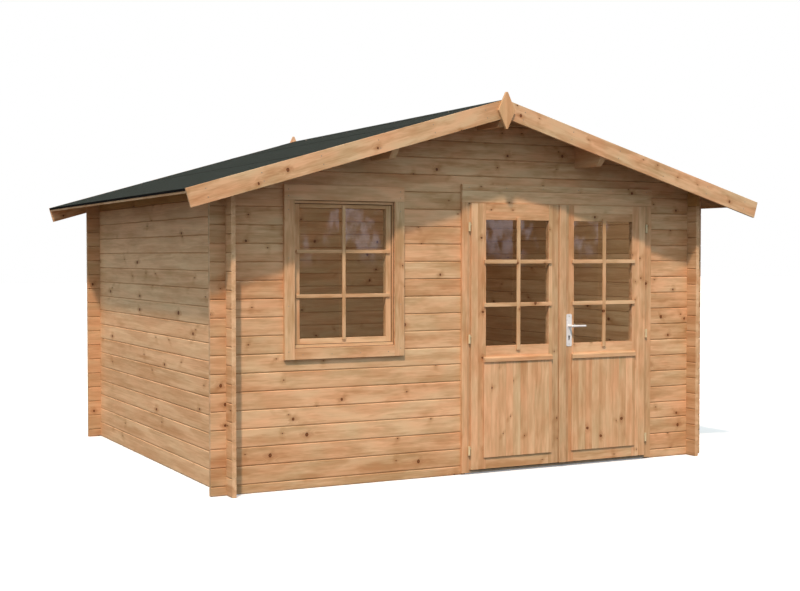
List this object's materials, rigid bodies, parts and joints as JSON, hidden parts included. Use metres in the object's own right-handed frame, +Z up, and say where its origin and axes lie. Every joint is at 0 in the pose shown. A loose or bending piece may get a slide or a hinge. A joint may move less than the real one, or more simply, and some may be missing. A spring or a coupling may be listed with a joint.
{
  "type": "garden cabin",
  "caption": "Log garden cabin with interlocking corners, a low gable felt roof on purlins, a fixed lattice window and glazed double doors that swing outward.",
  "frame": {"origin": "middle of the cabin's outer box at ground level, roof overhangs included", "axes": "+X along the front towards the doors, +Y from the front to the back, +Z up"},
  "size_m": [4.308, 3.5572, 2.5223],
  "materials": {
    "log_wood": "planed untreated softwood",
    "roof_board": "planed untreated softwood",
    "trim_wood": "planed untreated softwood",
    "joinery_wood": "planed untreated softwood",
    "roof_felt": "mineral-faced bitumen felt",
    "window_pane": "clear float glass",
    "threshold_metal": "dull mill finish",
    "hinge_steel": "zinc plated",
    "handle_metal": "satin anodised"
  },
  "bodies": {
    "cabin": {"left_wall": "log_wood", "right_wall": "log_wood", "back_wall": "log_wood", "front_wall_below_window": "log_wood", "front_wall_left": "log_wood", "front_wall_middle": "log_wood", "front_wall_right": "log_wood", "front_gable": "log_wood", "ridge_purlin": "log_wood", "side_purlins": "log_wood", "left_deck": "roof_board", "right_deck": "roof_board", "left_felt": "roof_felt", "right_felt": "roof_felt", "left_eave_batten": "trim_wood", "right_eave_batten": "trim_wood", "front_left_barge": "trim_wood", "front_right_barge": "trim_wood", "back_left_barge": "trim_wood", "back_right_barge": "trim_wood", "front_finial": "trim_wood", "back_finial": "trim_wood", "window_trim": "trim_wood", "window_frame": "joinery_wood", "window_sash": "joinery_wood", "window_glass": "window_pane", "door_left_jamb": "joinery_wood", "door_right_jamb": "joinery_wood", "door_head": "joinery_wood", "door_cover_board": "trim_wood", "door_threshold": "threshold_metal", "frame_hinges": "hinge_steel"},
    "left_leaf": {"left_leaf_frame": "joinery_wood", "left_leaf_panel": "joinery_wood", "left_leaf_drip": "joinery_wood", "left_leaf_glass": "window_pane", "left_leaf_hinges": "hinge_steel"},
    "right_leaf": {"right_leaf_frame": "joinery_wood", "right_leaf_panel": "joinery_wood", "right_leaf_drip": "joinery_wood", "right_leaf_glass": "window_pane", "right_leaf_hinges": "hinge_steel", "meeting_strip": "joinery_wood", "handle_plates": "handle_metal"},
    "lever": {"door_lever": "handle_metal"}
  },
  "joints": [
    {"name": "left_leaf_swing", "type": "hinge", "parent": "cabin", "child": "left_leaf", "pos_m": [-0.099, -1.472, 0.9], "axis": [0, 0, -1], "range_deg": [0, 120]},
    {"name": "right_leaf_swing", "type": "hinge", "parent": "cabin", "child": "right_leaf", "pos_m": [1.373, -1.472, 0.9], "axis": [0, 0, 1], "range_deg": [0, 120]},
    {"name": "lever_turn", "type": "hinge", "parent": "right_leaf", "child": "lever", "pos_m": [0.701, -1.455, 0.977], "axis": [0, 1, 0], "range_deg": [0, 40], "stiffness_Nm_per_rad": 1.2, "springref_deg": -28.65}
  ]
}
